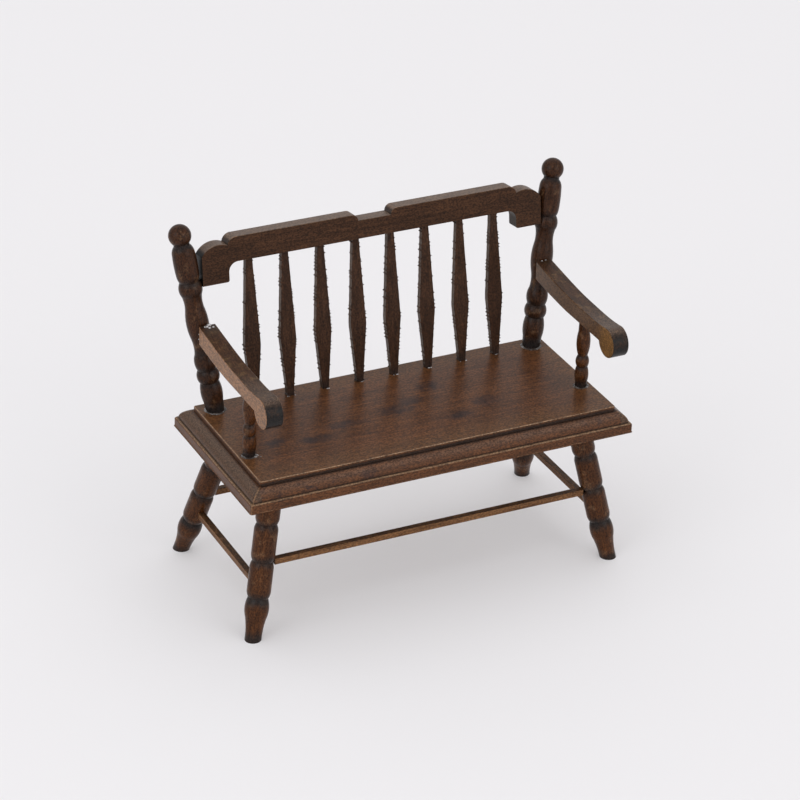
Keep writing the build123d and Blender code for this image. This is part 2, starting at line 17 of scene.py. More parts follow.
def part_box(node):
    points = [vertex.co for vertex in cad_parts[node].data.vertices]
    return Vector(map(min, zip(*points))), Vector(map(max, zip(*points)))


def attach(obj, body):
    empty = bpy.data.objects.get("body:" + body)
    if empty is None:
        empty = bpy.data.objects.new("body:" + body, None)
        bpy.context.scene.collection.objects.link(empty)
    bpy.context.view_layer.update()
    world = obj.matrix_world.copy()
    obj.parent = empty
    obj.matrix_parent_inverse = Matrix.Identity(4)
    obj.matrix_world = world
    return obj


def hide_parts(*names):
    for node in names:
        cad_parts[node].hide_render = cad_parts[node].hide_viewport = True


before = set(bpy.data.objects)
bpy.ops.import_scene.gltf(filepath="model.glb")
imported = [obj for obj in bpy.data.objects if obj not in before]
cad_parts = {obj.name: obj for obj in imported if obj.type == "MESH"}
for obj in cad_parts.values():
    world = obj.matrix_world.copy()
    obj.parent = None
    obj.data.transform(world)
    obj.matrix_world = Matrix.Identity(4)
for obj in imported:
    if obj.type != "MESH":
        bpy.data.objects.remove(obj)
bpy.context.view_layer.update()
MM = 0.001
print("pieces in the frame:", len(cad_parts))

# %% [markdown]
# The board's raised top ends at the back in a straight edge. Every piece of
# the back is set out from that edge, so it is found first, from the seat's
# own box and the width of the moulding behind the raised top.

# %% Find the setting-out line
BACK_BORDER = 3.7
BACK_FOOT_FROM_EDGE = 3.8
SEAT_TOP = 42.65
seat_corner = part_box("seat")[1]
SETTING_Y = seat_corner.y / MM - BACK_BORDER
BACK_FOOT_Y = SETTING_Y - BACK_FOOT_FROM_EDGE
RAKE = math.radians(7.486)
print("raised top ends at y =", round(SETTING_Y, 2), "mm")


def leaning_point(x, up, out=0.0):
    """A place in the leaning back: along the pew, up the lean, out in front."""
    y = BACK_FOOT_Y + up * math.sin(RAKE) - out * math.cos(RAKE)
    z = SEAT_TOP + up * math.cos(RAKE) + out * math.sin(RAKE)
    return Vector((x, y, z)) * MM


# %% [markdown]
# Shader maths reads best as plain arithmetic. Value holds one socket of a
# node tree and turns +, -, * and / into Math nodes. Tree adds every node, for
# the finishes and for the sky, and Finish is the tree of one material.

# %% Shader arithmetic
class Value:
    """A number that changes over the surface."""

    def __init__(self, owner, socket):
        self.owner, self.socket = owner, socket

    def maths(self, operation, other=None, clamp=False):
        inputs = [x for x in (self, other) if x is not None]
        return self.owner.node("ShaderNodeMath", inputs, operation=operation, use_clamp=clamp)

    def __add__(self, other):
        return self.maths("ADD", other)

    __radd__ = __add__

    def __sub__(self, other):
        return self.maths("SUBTRACT", other)

    def __rsub__(self, other):
        return (self * -1) + other

    def __mul__(self, other):
        return self.maths("MULTIPLY", other)

    __rmul__ = __mul__

    def __truediv__(self, other):
        return self.maths("DIVIDE", other)

    def absolute(self):
        return self.maths("ABSOLUTE")

    def clamped(self):
        return self.maths("ADD", 0.0, clamp=True)

    def larger(self, other):
        return self.maths("MAXIMUM", other)

    def smaller(self, other):
        return self.maths("MINIMUM", other)

    def step(self, low, high):
        """0 below low, 1 above high, eased between; high may be the lower."""
        inputs = {"Value": self, "From Min": low, "From Max": high}
        return self.owner.node("ShaderNodeMapRange", inputs, interpolation_type="SMOOTHSTEP")

    def band(self, centre, half_width):
        """1 at centre, falling to 0 half_width away on both sides."""
        return (self - centre).absolute().step(half_width, 0.0)


class Tree:
    """A node tree under construction."""

    def __init__(self, tree):
        self.tree = tree

    def node(self, kind, inputs=(), output=0, **settings):
        """One new node: its settings first, then its sockets, by name or number."""
        made = self.tree.nodes.new(kind)
        for key, setting in settings.items():
            setattr(made, key, setting)
        pairs = inputs.items() if isinstance(inputs, dict) else enumerate(inputs)
        for key, value in pairs:
            self.feed(made.inputs[key], value)
        return Value(self, made.outputs[output])

    def feed(self, socket, value):
        if isinstance(value, Value):
            self.tree.links.new(value.socket, socket)
        elif hasattr(value, "__len__") and socket.type == "RGBA":
            socket.default_value = (*value, 1.0)
        else:
            socket.default_value = value

    def axes(self, spot):
        """The x, y and z of a vector."""
        split = self.node("ShaderNodeSeparateXYZ", [spot]).socket.node
        return [Value(self, split.outputs[i]) for i in range(3)]


class Finish(Tree):
    """A material under construction: it adds nodes and mixes colours."""

    def __init__(self, name):
        self.material = bpy.data.materials.new(name)
        self.material.use_nodes = True
        super().__init__(self.material.node_tree)
        self.shader = self.tree.nodes["Principled BSDF"]

    def mix(self, amount, under, over, blend="MIX"):
        """Colour over laid on colour under, by amount."""
        inputs = {"Factor": amount, 6: under, 7: over}
        return self.node("ShaderNodeMix", inputs, 2, data_type="RGBA", blend_type=blend)

    def place(self, turn=(0, 0, 0), stretch=(1, 1, 1)):
        """Object coordinates in millimetres, seen in a frame turned by turn.

        stretch below 1 draws a pattern out along that axis of the frame.
        """
        spot = self.node("ShaderNodeTexCoord", output="Object")
        size = tuple(MM / s for s in stretch)
        inputs = {"Vector": spot, "Rotation": turn, "Scale": size}
        return self.node("ShaderNodeMapping", inputs, vector_type="TEXTURE")

    def noise(self, spot, scale, detail=3.0, roughness=0.55, distortion=0.0):
        inputs = {"Vector": spot, "Scale": scale, "Detail": detail}
        inputs |= {"Roughness": roughness, "Distortion": distortion}
        return self.node("ShaderNodeTexNoise", inputs, noise_dimensions="3D")

    def attribute(self, name):
        return self.node("ShaderNodeAttribute", output="Fac", attribute_name=name)

    def bump(self, height, strength, depth_mm):
        inputs = {"Strength": strength, "Distance": depth_mm * MM, "Height": height}
        return self.node("ShaderNodeBump", inputs)

    def finish(self, **sockets):
        for name, value in sockets.items():
            self.feed(self.shader.inputs[name.replace("_", " ")], value)
        return self.material


# %% [markdown]
# Dark stain on a pale, fine-grained wood sits unevenly: it is dark in the
# pores and end grain, thin and reddish on the open faces, and rubbed back to
# tan on edges. One function mixes that finish for every board and turning.
# It takes the frame the grain runs in, and a function that lists each piece's
# own marks: pairs of a mask and the colour that shows there.

# %% The stained wood
DEEP = (0.0085, 0.0046, 0.0032)
SOOT = (0.0120, 0.0115, 0.0120)
TAN = (0.210, 0.125, 0.070)
SEAT_TONES = (DEEP, (0.058, 0.0235, 0.0105), (0.110, 0.0440, 0.0180))
SAWN_TONES = (DEEP, (0.032, 0.0145, 0.0074), (0.064, 0.0290, 0.0145))
SLAT_TONES = (DEEP, (0.028, 0.0130, 0.0072), (0.056, 0.0265, 0.0145))
POST_TONES = (DEEP, (0.023, 0.0090, 0.0040), (0.044, 0.0170, 0.0072))
LEG_TONES = (DEEP, (0.040, 0.0140, 0.0046), (0.078, 0.0285, 0.0092))
STICK_TONES = (DEEP, (0.100, 0.0470, 0.0200), (0.190, 0.0940, 0.0410))


def grain_of(wood, turn, along=0.06, seed=0.0):
    """Long streaks, short pores and broad clouds for grain along local x."""
    spot = wood.place(turn, (along, 1.0, 1.0))
    shift = (seed, seed * 0.7, seed * 1.3)
    moved = wood.node("ShaderNodeVectorMath", [spot, shift], operation="ADD")
    streaks = wood.noise(moved, 1.25, 5.0, 0.62, 0.35)
    pores = wood.noise(wood.place(turn, (along * 4.5, 1.0, 1.0)), 5.2, 2.0, 0.6)
    clouds = wood.noise(wood.place(turn, (0.35, 1.0, 1.0)), 0.13 + seed * 0.001, 3.0, 0.6, 0.4)
    return streaks, pores, clouds


def stained_wood(name, turn, seed, tones, marks, gloss=0.36, shine=0.10, coat=0.02, open_pores=0.40):
    """Walnut-stained wood under satin varnish."""
    wood = Finish(name)
    deep, middle, warm = tones
    streaks, pores, clouds = grain_of(wood, turn, seed=seed)
    body = wood.mix(streaks.step(0.30, 0.66), middle, warm)
    body = wood.mix(clouds.step(0.60, 0.34) * 0.55, body, middle)
    body = wood.mix(pores.step(0.46, 0.30) * open_pores, body, deep)
    for mask, colour in marks(wood):
        body = wood.mix(mask.clamped(), body, colour)
    speck = wood.noise(wood.place(turn, (0.55, 1.0, 1.0)), 3.6, 2.0, 0.6)
    tint = wood.mix(speck.step(0.34, 0.66), (0.58, 0.58, 0.59), (1.52, 1.45, 1.36))
    body = wood.mix(1.0, body, tint, "MULTIPLY")
    rough = (streaks * 0.10 + speck * 0.14 + (gloss - 0.12)).clamped()
    relief = wood.bump(pores * 0.4 + streaks * 0.3 + speck * 0.5, 0.35, 0.05)
    return wood.finish(
        Base_Color=body,
        Roughness=rough,
        Normal=relief,
        IOR=1.5,
        Specular_IOR_Level=shine,
        Coat_Weight=coat,
        Coat_Roughness=0.22,
    )


# %% [markdown]
# Turned pieces come off the lathe with fine rings, and stain pools in their
# grooves. Both follow the piece's own axis, so the shader measures how far
# along the axis each spot lies: a dot product with the axis direction.

# %% Finish for a turned piece
def turned_wood(name, foot, axis, tones, rings, seed):
    """Wood turned about an axis from foot.

    rings lists (height, half width, strength) of the stain's dark bands.
    """
    axis = axis.normalized()
    grain_frame = tuple(Vector((1, 0, 0)).rotation_difference(axis).to_euler())

    def marks(wood):
        pair = [wood.place(), tuple(axis)]
        along = wood.node("ShaderNodeVectorMath", pair, "Value", operation="DOT_PRODUCT")
        smudge = wood.noise(wood.place(), 0.34 + seed * 0.001, 3.0, 0.6, 0.3)
        wander = along - foot.dot(axis) / MM + (smudge * 2.4 - 1.2)
        tan_spots = smudge.step(0.54, 0.68) * 0.26
        dark = None
        for height, half, strength in rings:
            band = wander.band(height, half) * strength
            dark = band if dark is None else dark.larger(band)
        return [(tan_spots, TAN), (dark, SOOT)]

    return stained_wood(name, grain_frame, seed, tones, marks, 0.30, 0.10, 0.10, 0.20)


def paint(node, material):
    """Give one CAD piece its finish."""
    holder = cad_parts[node]
    for entry in holder.material_slots:
        entry.material = material


# %% [markdown]
# The legs splay outward and away from each other, front and back at
# different angles. Their grooves are cut at the same three heights, and the
# feet have soaked up more stain.

# %% Legs
LEG_RINGS = [(0.0, 3.2, 0.85), (10.2, 2.6, 0.90), (19.6, 2.2, 0.75), (28.4, 2.0, 0.70)]
FRONT_FOOT = (47.68, SETTING_Y - 38.82)
BACK_FOOT = (47.34, SETTING_Y + 5.86)
FRONT_LEAN = (-0.1988, 0.1827)
BACK_LEAN = (-0.1891, -0.3249)
for row, foot_xy, lean in (("front", FRONT_FOOT, FRONT_LEAN), ("back", BACK_FOOT, BACK_LEAN)):
    for side, sign in (("left", -1), ("right", 1)):
        node = f"leg_{row}_{side}"
        foot = Vector((sign * foot_xy[0], foot_xy[1], 0)) * MM
        axis = Vector((sign * lean[0], lean[1], 1))
        seed = 3.0 * sign + (5.0 if row == "back" else 0.0)
        paint(node, turned_wood(f"{node}_finish", foot, axis, LEG_TONES, LEG_RINGS, seed))
print("legs finished")

# %% [markdown]
# The back posts lean out to the sides and back. Their grooves sit below and
# above the ringed foot, under the barrel and at the neck of the ball. The arm
# posts are short turnings that stand upright, made on the same lathe.

# %% Back posts and arm posts
POST_RINGS = [(0.6, 3.4, 0.9), (7.6, 1.6, 0.6), (11.0, 1.6, 0.6), (15.6, 1.8, 0.5)]
POST_RINGS += [(30.5, 1.6, 0.35), (33.8, 1.5, 0.7), (43.0, 1.5, 0.8)]
SPLAY = math.radians(8.366)
POST_X = 42.5
for side, sign in (("left", -1), ("right", 1)):
    node = f"back_post_{side}"
    foot = leaning_point(sign * POST_X, 0)
    up = leaning_point(0, 1000) - leaning_point(0, 0)
    axis = up.normalized() * math.cos(SPLAY) + Vector((sign * math.sin(SPLAY), 0, 0))
    paint(node, turned_wood(f"{node}_finish", foot, axis, POST_TONES, POST_RINGS, 11.0 * sign))
ARM_POST_X, ARM_POST_Y = 43.85, SETTING_Y - 27.0
ARM_POST_RINGS = [(0.4, 3.0, 0.9), (5.4, 1.0, 0.65), (8.4, 1.0, 0.7), (16.8, 1.4, 0.4)]
for side, sign in (("left", -1), ("right", 1)):
    node = f"arm_post_{side}"
    foot = Vector((sign * ARM_POST_X, ARM_POST_Y, SEAT_TOP)) * MM
    upward = Vector((0, 0, 1))
    wood = turned_wood(f"{node}_finish", foot, upward, LEG_TONES, ARM_POST_RINGS, 17.0 * sign)
    paint(node, wood)
print("posts finished")

# %% [markdown]
# Sawn pieces have arrises that hands and sandpaper have rounded. A piece is
# drawn as an outline, extruded to its thickness and bevelled. The middle rows
# of each rounding carry a number, "edge", that is 1 there and 0 on the open
# faces, and the finish reads it to rub the stain away on the arris.

# %% Tools for sawn pieces
def arc(start, middle, end, count):
    """Points on the circle through three points, from start to end."""
    (ax, ay), (bx, by), (cx, cy) = start, middle, end
    turn = 2 * (ax * (by - cy) + bx * (cy - ay) + cx * (ay - by))
    a2, b2, c2 = ax * ax + ay * ay, bx * bx + by * by, cx * cx + cy * cy
    ux = (a2 * (by - cy) + b2 * (cy - ay) + c2 * (ay - by)) / turn
    uy = (a2 * (cx - bx) + b2 * (ax - cx) + c2 * (bx - ax)) / turn
    first, mid, last = (math.atan2(y - uy, x - ux) for x, y in (start, middle, end))
    sweep = (last - first) % (2 * math.pi)
    if (mid - first) % (2 * math.pi) > sweep:
        sweep -= 2 * math.pi
    radius = math.hypot(ax - ux, ay - uy)
    angles = [first + sweep * i / count for i in range(1, count + 1)]
    return [(ux + radius * math.cos(a), uy + radius * math.sin(a)) for a in angles]


def shade(bm, smooth_below):
    """Smooth the curved places only; a wide flat face keeps its own normal."""
    limit = math.radians(smooth_below)
    areas = {face: face.calc_area() for face in bm.faces}
    for face in bm.faces:
        face.smooth = len(face.verts) < 9
    for edge in bm.edges:
        angle = edge.calc_face_angle(0.0)
        sizes = sorted(areas[face] for face in edge.link_faces)
        uneven = len(sizes) == 2 and sizes[1] > 6 * sizes[0] and angle > 0.02
        edge.smooth = len(sizes) == 2 and angle < limit and not uneven


def finish_mesh(name, bm, material, nodes=(), smooth_below=38):
    """Turn a bmesh into a piece that rides on the pew."""
    bmesh.ops.remove_doubles(bm, verts=bm.verts, dist=1e-7)
    bmesh.ops.recalc_face_normals(bm, faces=bm.faces)
    shade(bm, smooth_below)
    mesh = bpy.data.meshes.new(name)
    bm.to_mesh(mesh)
    bm.free()
    piece = bpy.data.objects.new(name, mesh)
    bpy.context.scene.collection.objects.link(piece)
    mesh.materials.append(material)
    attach(piece, "root")
    if nodes:
        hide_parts(*nodes)
    print(name, len(mesh.polygons), "faces")
    return piece


def rounded(bm, edges, round_mm, segments):
    """Bevel some edges to a round and give the new faces."""
    return bmesh.ops.bevel(
        bm, geom=edges, offset=round_mm, offset_type="OFFSET", segments=segments,
        profile=0.5, affect="EDGES", material=-1, clamp_overlap=True,
    )["faces"]


def soften(bm, edges, round_mm):
    """Round some edges and mark the rounding's inner rows as worn."""
    layer = bm.verts.layers.float.new("edge")
    band = set(rounded(bm, edges, round_mm, 4))
    for vert in bm.verts:
        if vert.link_faces and all(face in band for face in vert.link_faces):
            vert[layer] = 1.0


def sawn(outline, thickness, place, round_mm):
    """A sawn piece: outline in mm, a thickness, and a function that places it.

    place takes (u, v, out) in mm and gives the point in metres, where out
    runs from -thickness/2 to +thickness/2.
    """
    half = thickness / 2
    bm = bmesh.new()
    base = bm.faces.new([bm.verts.new((u, v, -half)) for u, v in outline])
    grown = bmesh.ops.extrude_face_region(bm, geom=[base], use_keep_orig=True)["geom"]
    lifted = [g for g in grown if isinstance(g, bmesh.types.BMVert)]
    bmesh.ops.translate(bm, verts=lifted, vec=(0, 0, thickness))
    bmesh.ops.recalc_face_normals(bm, faces=bm.faces)
    rims = [e for e in bm.edges if abs(e.verts[0].co.z - e.verts[1].co.z) < 1e-4]
    soften(bm, rims, round_mm)
    for vert in bm.verts:
        vert.co = place(*vert.co)
    return bm


# %% [markdown]
# The crest rail is the widest sawn board. Its top steps down to a dip in the
# middle and to a rounded lobe at each end, and its ends hang below as lugs.
# The stain went on thick at the front, and hands rubbed the top corners.
# The top faces carry a painted grey sheen, and the outer end faces are
# painted near black as shade from the posts beside them.

# %% Crest rail
CREST_THICKNESS = 3.95
CREST_UNDERSIDE = 36.75


def crest_outline():
    """The crest in its leaning plane: along the pew, and up from the seat."""
    low, under, high = 31.99, CREST_UNDERSIDE, 42.96
    dip, notch, lobe, shoulder = 41.38, 41.15, 41.32, 39.15
    half = 44.70
    dip_x, step_x, notch_x, inner = 6.0, 35.45, 38.05, 37.9
    dip_end, dip_step, end_step, corner, fillet = 4.3, 1.7, 2.6, 0.5, 2.3
    k = 1 - math.sqrt(0.5)
    right = [(0.0, dip), (dip_end, dip)]
    bend = (dip_x - dip_step * (1 - k), high - (high - dip) * k)
    right += arc((dip_end, dip), bend, (dip_x, high), 6)
    right += [(step_x, high)]
    bend = (step_x + end_step * (1 - k), high - (high - notch) * k)
    right += arc((step_x, high), bend, (notch_x, notch), 6)
    right += arc((notch_x, notch), (notch_x + 4.3, lobe - 0.14), (half, shoulder), 12)
    right += [(half, low), (inner + corner, low)]
    bend = (inner + corner * k, low + corner * k)
    right += arc((inner + corner, low), bend, (inner, low + corner), 4)
    right += [(inner, under - fillet)]
    bend = (inner - fillet * k, under - fillet * k)
    right += arc((inner, under - fillet), bend, (inner - fillet, under), 8)
    left = [(-x, y) for x, y in reversed(right) if x > 0]
    return right + left


def facing_of(wood):
    """The three parts of the direction a surface faces."""
    return wood.axes(wood.node("ShaderNodeNewGeometry", output="Normal"))


def crest_marks(wood):
    x, y, z = wood.axes(wood.place())
    nx, ny, nz = facing_of(wood)
    out = x.absolute()
    patches = wood.noise(wood.place((0, 0, 0), (0.35, 1, 1)), 0.45, 4.0, 0.65)
    corners = out.band(35.0, 4.0).larger(out.band(5.5, 3.0))
    top = nz.step(0.55, 0.85)
    rub = wood.attribute("edge") * (corners * 0.45 + 0.18) * patches.step(0.40, 0.60)
    # top_sheen is a painted grey sheen on the top faces, standing in for the reflection of the light
    # behind
    top_sheen = top * (patches * 0.5 + 0.45)
    # ends paints the outer end faces near black: painted shade from the posts beside them
    ends = nx.absolute().step(0.55, 0.8) * out.step(43.4, 44.2)
    inner_lug = (nx * -1).step(0.6, 0.9) * out.step(43.0, 41.0) * 0.6
    return [
        (rub, TAN),
        (top_sheen, (0.150, 0.108, 0.084)),
        (top * corners * patches.step(0.52, 0.68) * 0.5, TAN),
        (inner_lug, (0.018, 0.017, 0.016)),
        (ends, (0.004, 0.004, 0.004)),
    ]


crest_wood = stained_wood("crest_finish", (0, 0, 0), 23.0, SAWN_TONES, crest_marks)
bm = sawn(crest_outline(), CREST_THICKNESS, leaning_point, 0.16)
finish_mesh("crest_board", bm, crest_wood, ["crest_rail"])

# %% [markdown]
# The spindles are flat slats sawn to a long arrowhead. The saw tore fibres
# from their edges here and there, so each long edge wavers a little and
# carries a few short tufts, a different run on every slat, from a seeded
# random draw.

# %% Spindles
SPINDLE_PITCH = 9.23
SPINDLE_LENGTH = CREST_UNDERSIDE
SPINDLE_THICKNESS = 1.5
WIDEST_UP = 14.67
END_HALF = 0.8
WIDE_HALF = 2.05
draw = random.Random(7)


def torn_edge(side):
    """One long edge from foot to crest, with saw tear-out."""
    points = []
    up = 0.12
    while up < SPINDLE_LENGTH - 0.3:
        if up < WIDEST_UP:
            half = END_HALF + (WIDE_HALF - END_HALF) * up / WIDEST_UP
        else:
            taper = (up - WIDEST_UP) / (SPINDLE_LENGTH - WIDEST_UP)
            half = WIDE_HALF - (WIDE_HALF - END_HALF) * taper
        points.append((side * (half + draw.uniform(-0.03, 0.02)), up))
        if draw.random() < 0.42:
            tuft = draw.uniform(0.14, 0.32)
            points.append((side * (half + tuft), up + 0.12))
            points.append((side * (half + tuft * 0.6), up + 0.28))
            points.append((side * half, up + 0.34))
        up += draw.uniform(0.55, 1.1)
    return points


def spindle_outline():
    """Both torn edges joined at the foot and the crest."""
    right = [(END_HALF, 0.0)] + torn_edge(1) + [(END_HALF, SPINDLE_LENGTH)]
    left = [(-END_HALF, 0.0)] + torn_edge(-1) + [(-END_HALF, SPINDLE_LENGTH)]
    return right + left[::-1]


def slat_marks(wood):
    nx, ny, nz = facing_of(wood)
    x, y, z = wood.axes(wood.place())
    tuft = wood.noise(wood.place((0, 0, 0), (1, 1, 0.5)), 1.4, 2.0, 0.6)
    # sides paints the slats' narrow side faces a pale grey-brown in patches: painted light on the
    # sides
    sides = nx.absolute().step(0.6, 0.9) * (tuft.step(0.35, 0.65) * 0.45 + 0.12)
    foot = z.step(SEAT_TOP + 3.5, SEAT_TOP) * 0.6
    return [(sides, (0.115, 0.085, 0.066)), (foot, SOOT)]


slat_wood = stained_wood("slat_finish", (0, -math.pi / 2, 0), 31.0, SLAT_TONES, slat_marks)
for number in range(1, 9):
    middle = SPINDLE_PITCH * (number - 4.5)

    def upright(u, v, out, middle=middle):
        return leaning_point(middle + u, v, out)

    bm = sawn(spindle_outline(), SPINDLE_THICKNESS, upright, 0.06)
    bmesh.ops.bisect_plane(
        bm, geom=list(bm.verts) + list(bm.edges) + list(bm.faces),
        plane_co=(0, 0, SEAT_TOP * MM), plane_no=(0, 0, 1), clear_inner=True,
    )
    bmesh.ops.holes_fill(bm, edges=[e for e in bm.edges if e.is_boundary])
    finish_mesh(f"slat_{number}", bm, slat_wood, [f"spindle_{number}"])

# %% [markdown]
# Each arm is a bar cut from a board: it dips to a waist, rises, and ends in a
# dropped round nose. The nose is nearly black where end grain drank the
# stain. Faces that look left, toward the left lamp, are painted lighter as
# painted light: pale tan on the left arm's outer face, golden on the right
# arm's inner face and more so near its nose. The tops carry a painted grey
# sheen toward the nose.

# %% Arms
ARM_INNER = 42.6
ARM_WIDTH = 4.2
NOSE = (-39.6, 60.6)
NOSE_RADIUS = 3.65
ARM_UNDERSIDE = 59.65
REAR = -3.95
NOSE_Y = SETTING_Y + NOSE[0]


def eased(points, count):
    """A smooth line through points given as (y, z, slope)."""
    line = [points[0][:2]]
    for (y0, z0, s0), (y1, z1, s1) in zip(points, points[1:]):
        run = y1 - y0
        for i in range(1, count + 1):
            t = i / count
            a, b = 2 * t**3 - 3 * t**2 + 1, t**3 - 2 * t**2 + t
            c, d = -2 * t**3 + 3 * t**2, t**3 - t**2
            line.append((y0 + run * t, a * z0 + b * run * s0 + c * z1 + d * run * s1))
    return line


def arm_outline():
    """An arm from the side: (back from the setting-out line, up)."""
    (nose_y, nose_z), nose, under = NOSE, NOSE_RADIUS, ARM_UNDERSIDE
    top = (nose_y + 0.6, nose_z + math.sqrt(nose**2 - 0.36))
    back = (nose_y + math.sqrt(nose**2 - (nose_z - under) ** 2), under)
    slant = nose * math.sqrt(0.5)
    line = eased([(REAR, 65.75, 0.11), (-24.5, 63.82, 0.012), (*top, -0.16)], 10)
    line += arc(top, (nose_y - slant, nose_z - slant), back, 26)
    line += [(-30.0, under), (-25.0, under), (-20.0, under)]
    bend = ((-20.0 + REAR) / 2, under + 1.5 * 0.36)
    line += arc((-20.0, under), bend, (REAR, 61.15), 8)
    return line


def arm_places(sign):
    """Where an arm's outline goes, for the left (-1) or right (+1) arm."""

    def place(u, v, out):
        x = sign * (ARM_INNER + ARM_WIDTH / 2) + out
        return Vector((x, SETTING_Y + u, v)) * MM

    return place


def arm_marks(sign):
    def marks(wood):
        x, y, z = wood.axes(wood.place())
        nx, ny, nz = facing_of(wood)
        smudge = wood.noise(wood.place(), 0.42, 3.0, 0.6)
        fibre = wood.noise(wood.place((0, 0, math.pi / 2), (0.12, 1, 1)), 2.4, 3.0, 0.65)
        left_face = (nx * -1).step(0.6, 0.95)
        drop = y.step(NOSE_Y + 4.5, NOSE_Y + 1.0)
        top = nz.step(0.6, 0.9)
        front = (ny * -1).step(0.35, 0.8) * y.step(NOSE_Y + 2.5, NOSE_Y - 1.5)
        # top_sheen here is a painted grey sheen on the arm tops, growing toward the nose
        top_sheen = top * y.step(NOSE_Y + 16.0, NOSE_Y + 4.0) * (fibre * 0.5 + 0.10)
        rear_stain = top * y.step(SETTING_Y - 11.0, SETTING_Y - 4.0)
        rear_stain = rear_stain * smudge.step(0.35, 0.6) * 0.6
        gold = top * smudge.step(0.50, 0.68) * 0.35
        layers = [
            (gold, (0.150, 0.088, 0.038)),
            (rear_stain, DEEP),
            (top_sheen, (0.135, 0.108, 0.090)),
            (wood.attribute("edge") * smudge.step(0.40, 0.62) * 0.40, TAN),
        ]
        # Faces that look left, toward the left lamp, are painted lighter below: painted light, not
        # wear
        if sign < 0:
            layers.append((left_face * (fibre * 0.8 + 0.42), (0.235, 0.124, 0.064)))
        else:
            layers.append((left_face * (fibre * 0.8 + 0.20), (0.135, 0.076, 0.040)))
            layers.append((left_face * drop * (smudge * 0.5 + 0.45), (0.185, 0.095, 0.030)))
        soot = front * (smudge.step(0.30, 0.55) * 0.45 + 0.50)
        soot = soot * (fibre.step(0.25, 0.5) * 0.3 + 0.7)
        layers.append((soot, (0.0105, 0.0110, 0.0118)))
        return layers

    return marks


for side, sign, seed in (("left", -1, 41.0), ("right", 1, 47.0)):
    along_arm = (0, 0, math.pi / 2)
    name = f"arm_{side}_finish"
    arm_wood = stained_wood(name, along_arm, seed, SAWN_TONES, arm_marks(sign), 0.34, 0.12, 0.04)
    bm = sawn(arm_outline(), ARM_WIDTH, arm_places(sign), 0.22)
    finish_mesh(f"arm_bar_{side}", bm, arm_wood, [f"arm_{side}"])

# %% [markdown]
# The seat board's edge is one moulding run round all four sides. It is built
# from the underside up: one rectangle, extruded again and again, and shrunk
# at each level by the moulding's own inset, so the mitres make themselves.

# %% Seat board
FRONT_BORDER, END_BORDER = 2.84, 3.46
SEAT_DEPTH = 46.0
SEAT_THICKNESS = 6.4
FASCIA_HEIGHT = 2.4
FASCIA_LEDGE = 0.65
FASCIA_ROUND = 0.45
QUIRK_DEPTH = 1.2
QUIRK_LEDGE = 0.3
LEVEL_BORDER = 3.3  # the border the moulding was drawn for, before it is fitted
SEAT_BASE = SEAT_TOP - SEAT_THICKNESS
LEDGE_Z = SEAT_BASE + FASCIA_HEIGHT
HALF_LENGTH = 50.0
BACK_Y = SETTING_Y + BACK_BORDER
FRONT_Y = BACK_Y - SEAT_DEPTH


def moulding_levels():
    """(share of the border inset, height) from the underside to the top."""
    fascia_top = LEDGE_Z - FASCIA_ROUND
    levels = [(0.0, SEAT_BASE), (0.0, fascia_top)]
    for angle in (0.4, 0.8, 1.2, math.pi / 2):
        inset = FASCIA_ROUND * (1 - math.cos(angle))
        levels.append((inset / LEVEL_BORDER, fascia_top + FASCIA_ROUND * math.sin(angle)))
    foot = (FASCIA_LEDGE / LEVEL_BORDER, LEDGE_Z)
    head = (1 - QUIRK_LEDGE / LEVEL_BORDER, SEAT_TOP - QUIRK_DEPTH)
    bend = (head[0] - (head[0] - foot[0]) * 0.68, foot[1] + (head[1] - foot[1]) * 0.6)
    levels += [foot] + arc(foot, bend, head, 12)
    return levels + [(1.0, SEAT_TOP - QUIRK_DEPTH), (1.0, SEAT_TOP)]


def fit_ring(face, share, z):
    """Move a face's corners to the board's outline, inset by share, at z."""
    x = HALF_LENGTH - END_BORDER * share
    y0, y1 = FRONT_Y + FRONT_BORDER * share, BACK_Y - BACK_BORDER * share
    for vert, corner in zip(face.verts, ((-x, y0), (x, y0), (x, y1), (-x, y1))):
        vert.co = (*corner, z)


def make_board():
    """The whole board, in millimetres, from the underside up."""
    bm = bmesh.new()
    levels = moulding_levels()
    base = bm.faces.new([bm.verts.new((0, 0, 0)) for _ in range(4)])
    fit_ring(base, *levels[0])
    copied = bmesh.ops.duplicate(bm, geom=[base])["geom"]
    top = next(g for g in copied if isinstance(g, bmesh.types.BMFace))
    fit_ring(top, *levels[1])
    bmesh.ops.bridge_loops(bm, edges=list(base.edges) + list(top.edges))
    for share, z in levels[2:]:
        top = bmesh.ops.extrude_discrete_faces(bm, faces=[top])["faces"][0]
        fit_ring(top, share, z)
    return bm


def spans(edge):
    """How far an edge runs along x, y and z."""
    return [abs(a - b) for a, b in zip(edge.verts[0].co, edge.verts[1].co)]


def lies_at(edge, z):
    return all(abs(vert.co.z - z) < 1e-5 for vert in edge.verts)


bm = make_board()
rounded(bm, [e for e in bm.edges if max(spans(e)[:2]) < 5.0], 0.42, 3)
rounded(bm, [e for e in bm.edges if lies_at(e, SEAT_TOP) or lies_at(e, SEAT_BASE)], 0.18, 2)
bmesh.ops.scale(bm, vec=(MM, MM, MM), verts=bm.verts)

# %% [markdown]
# The board's finish shows what a hand meets first: thin tan lines rubbed
# along the raised top's edge and along the fascia, and dark clouds in the
# middle where the stain pooled. Light and shade are painted on the moulding
# too: a painted shadow in the quirk and at the foot of the ovolo, a painted
# highlight along the ovolo's crown, and a painted grey sheen on the ends.

# %% Finish for the seat board
TOP_HALF = HALF_LENGTH - END_BORDER
TOP_FRONT = FRONT_Y + FRONT_BORDER
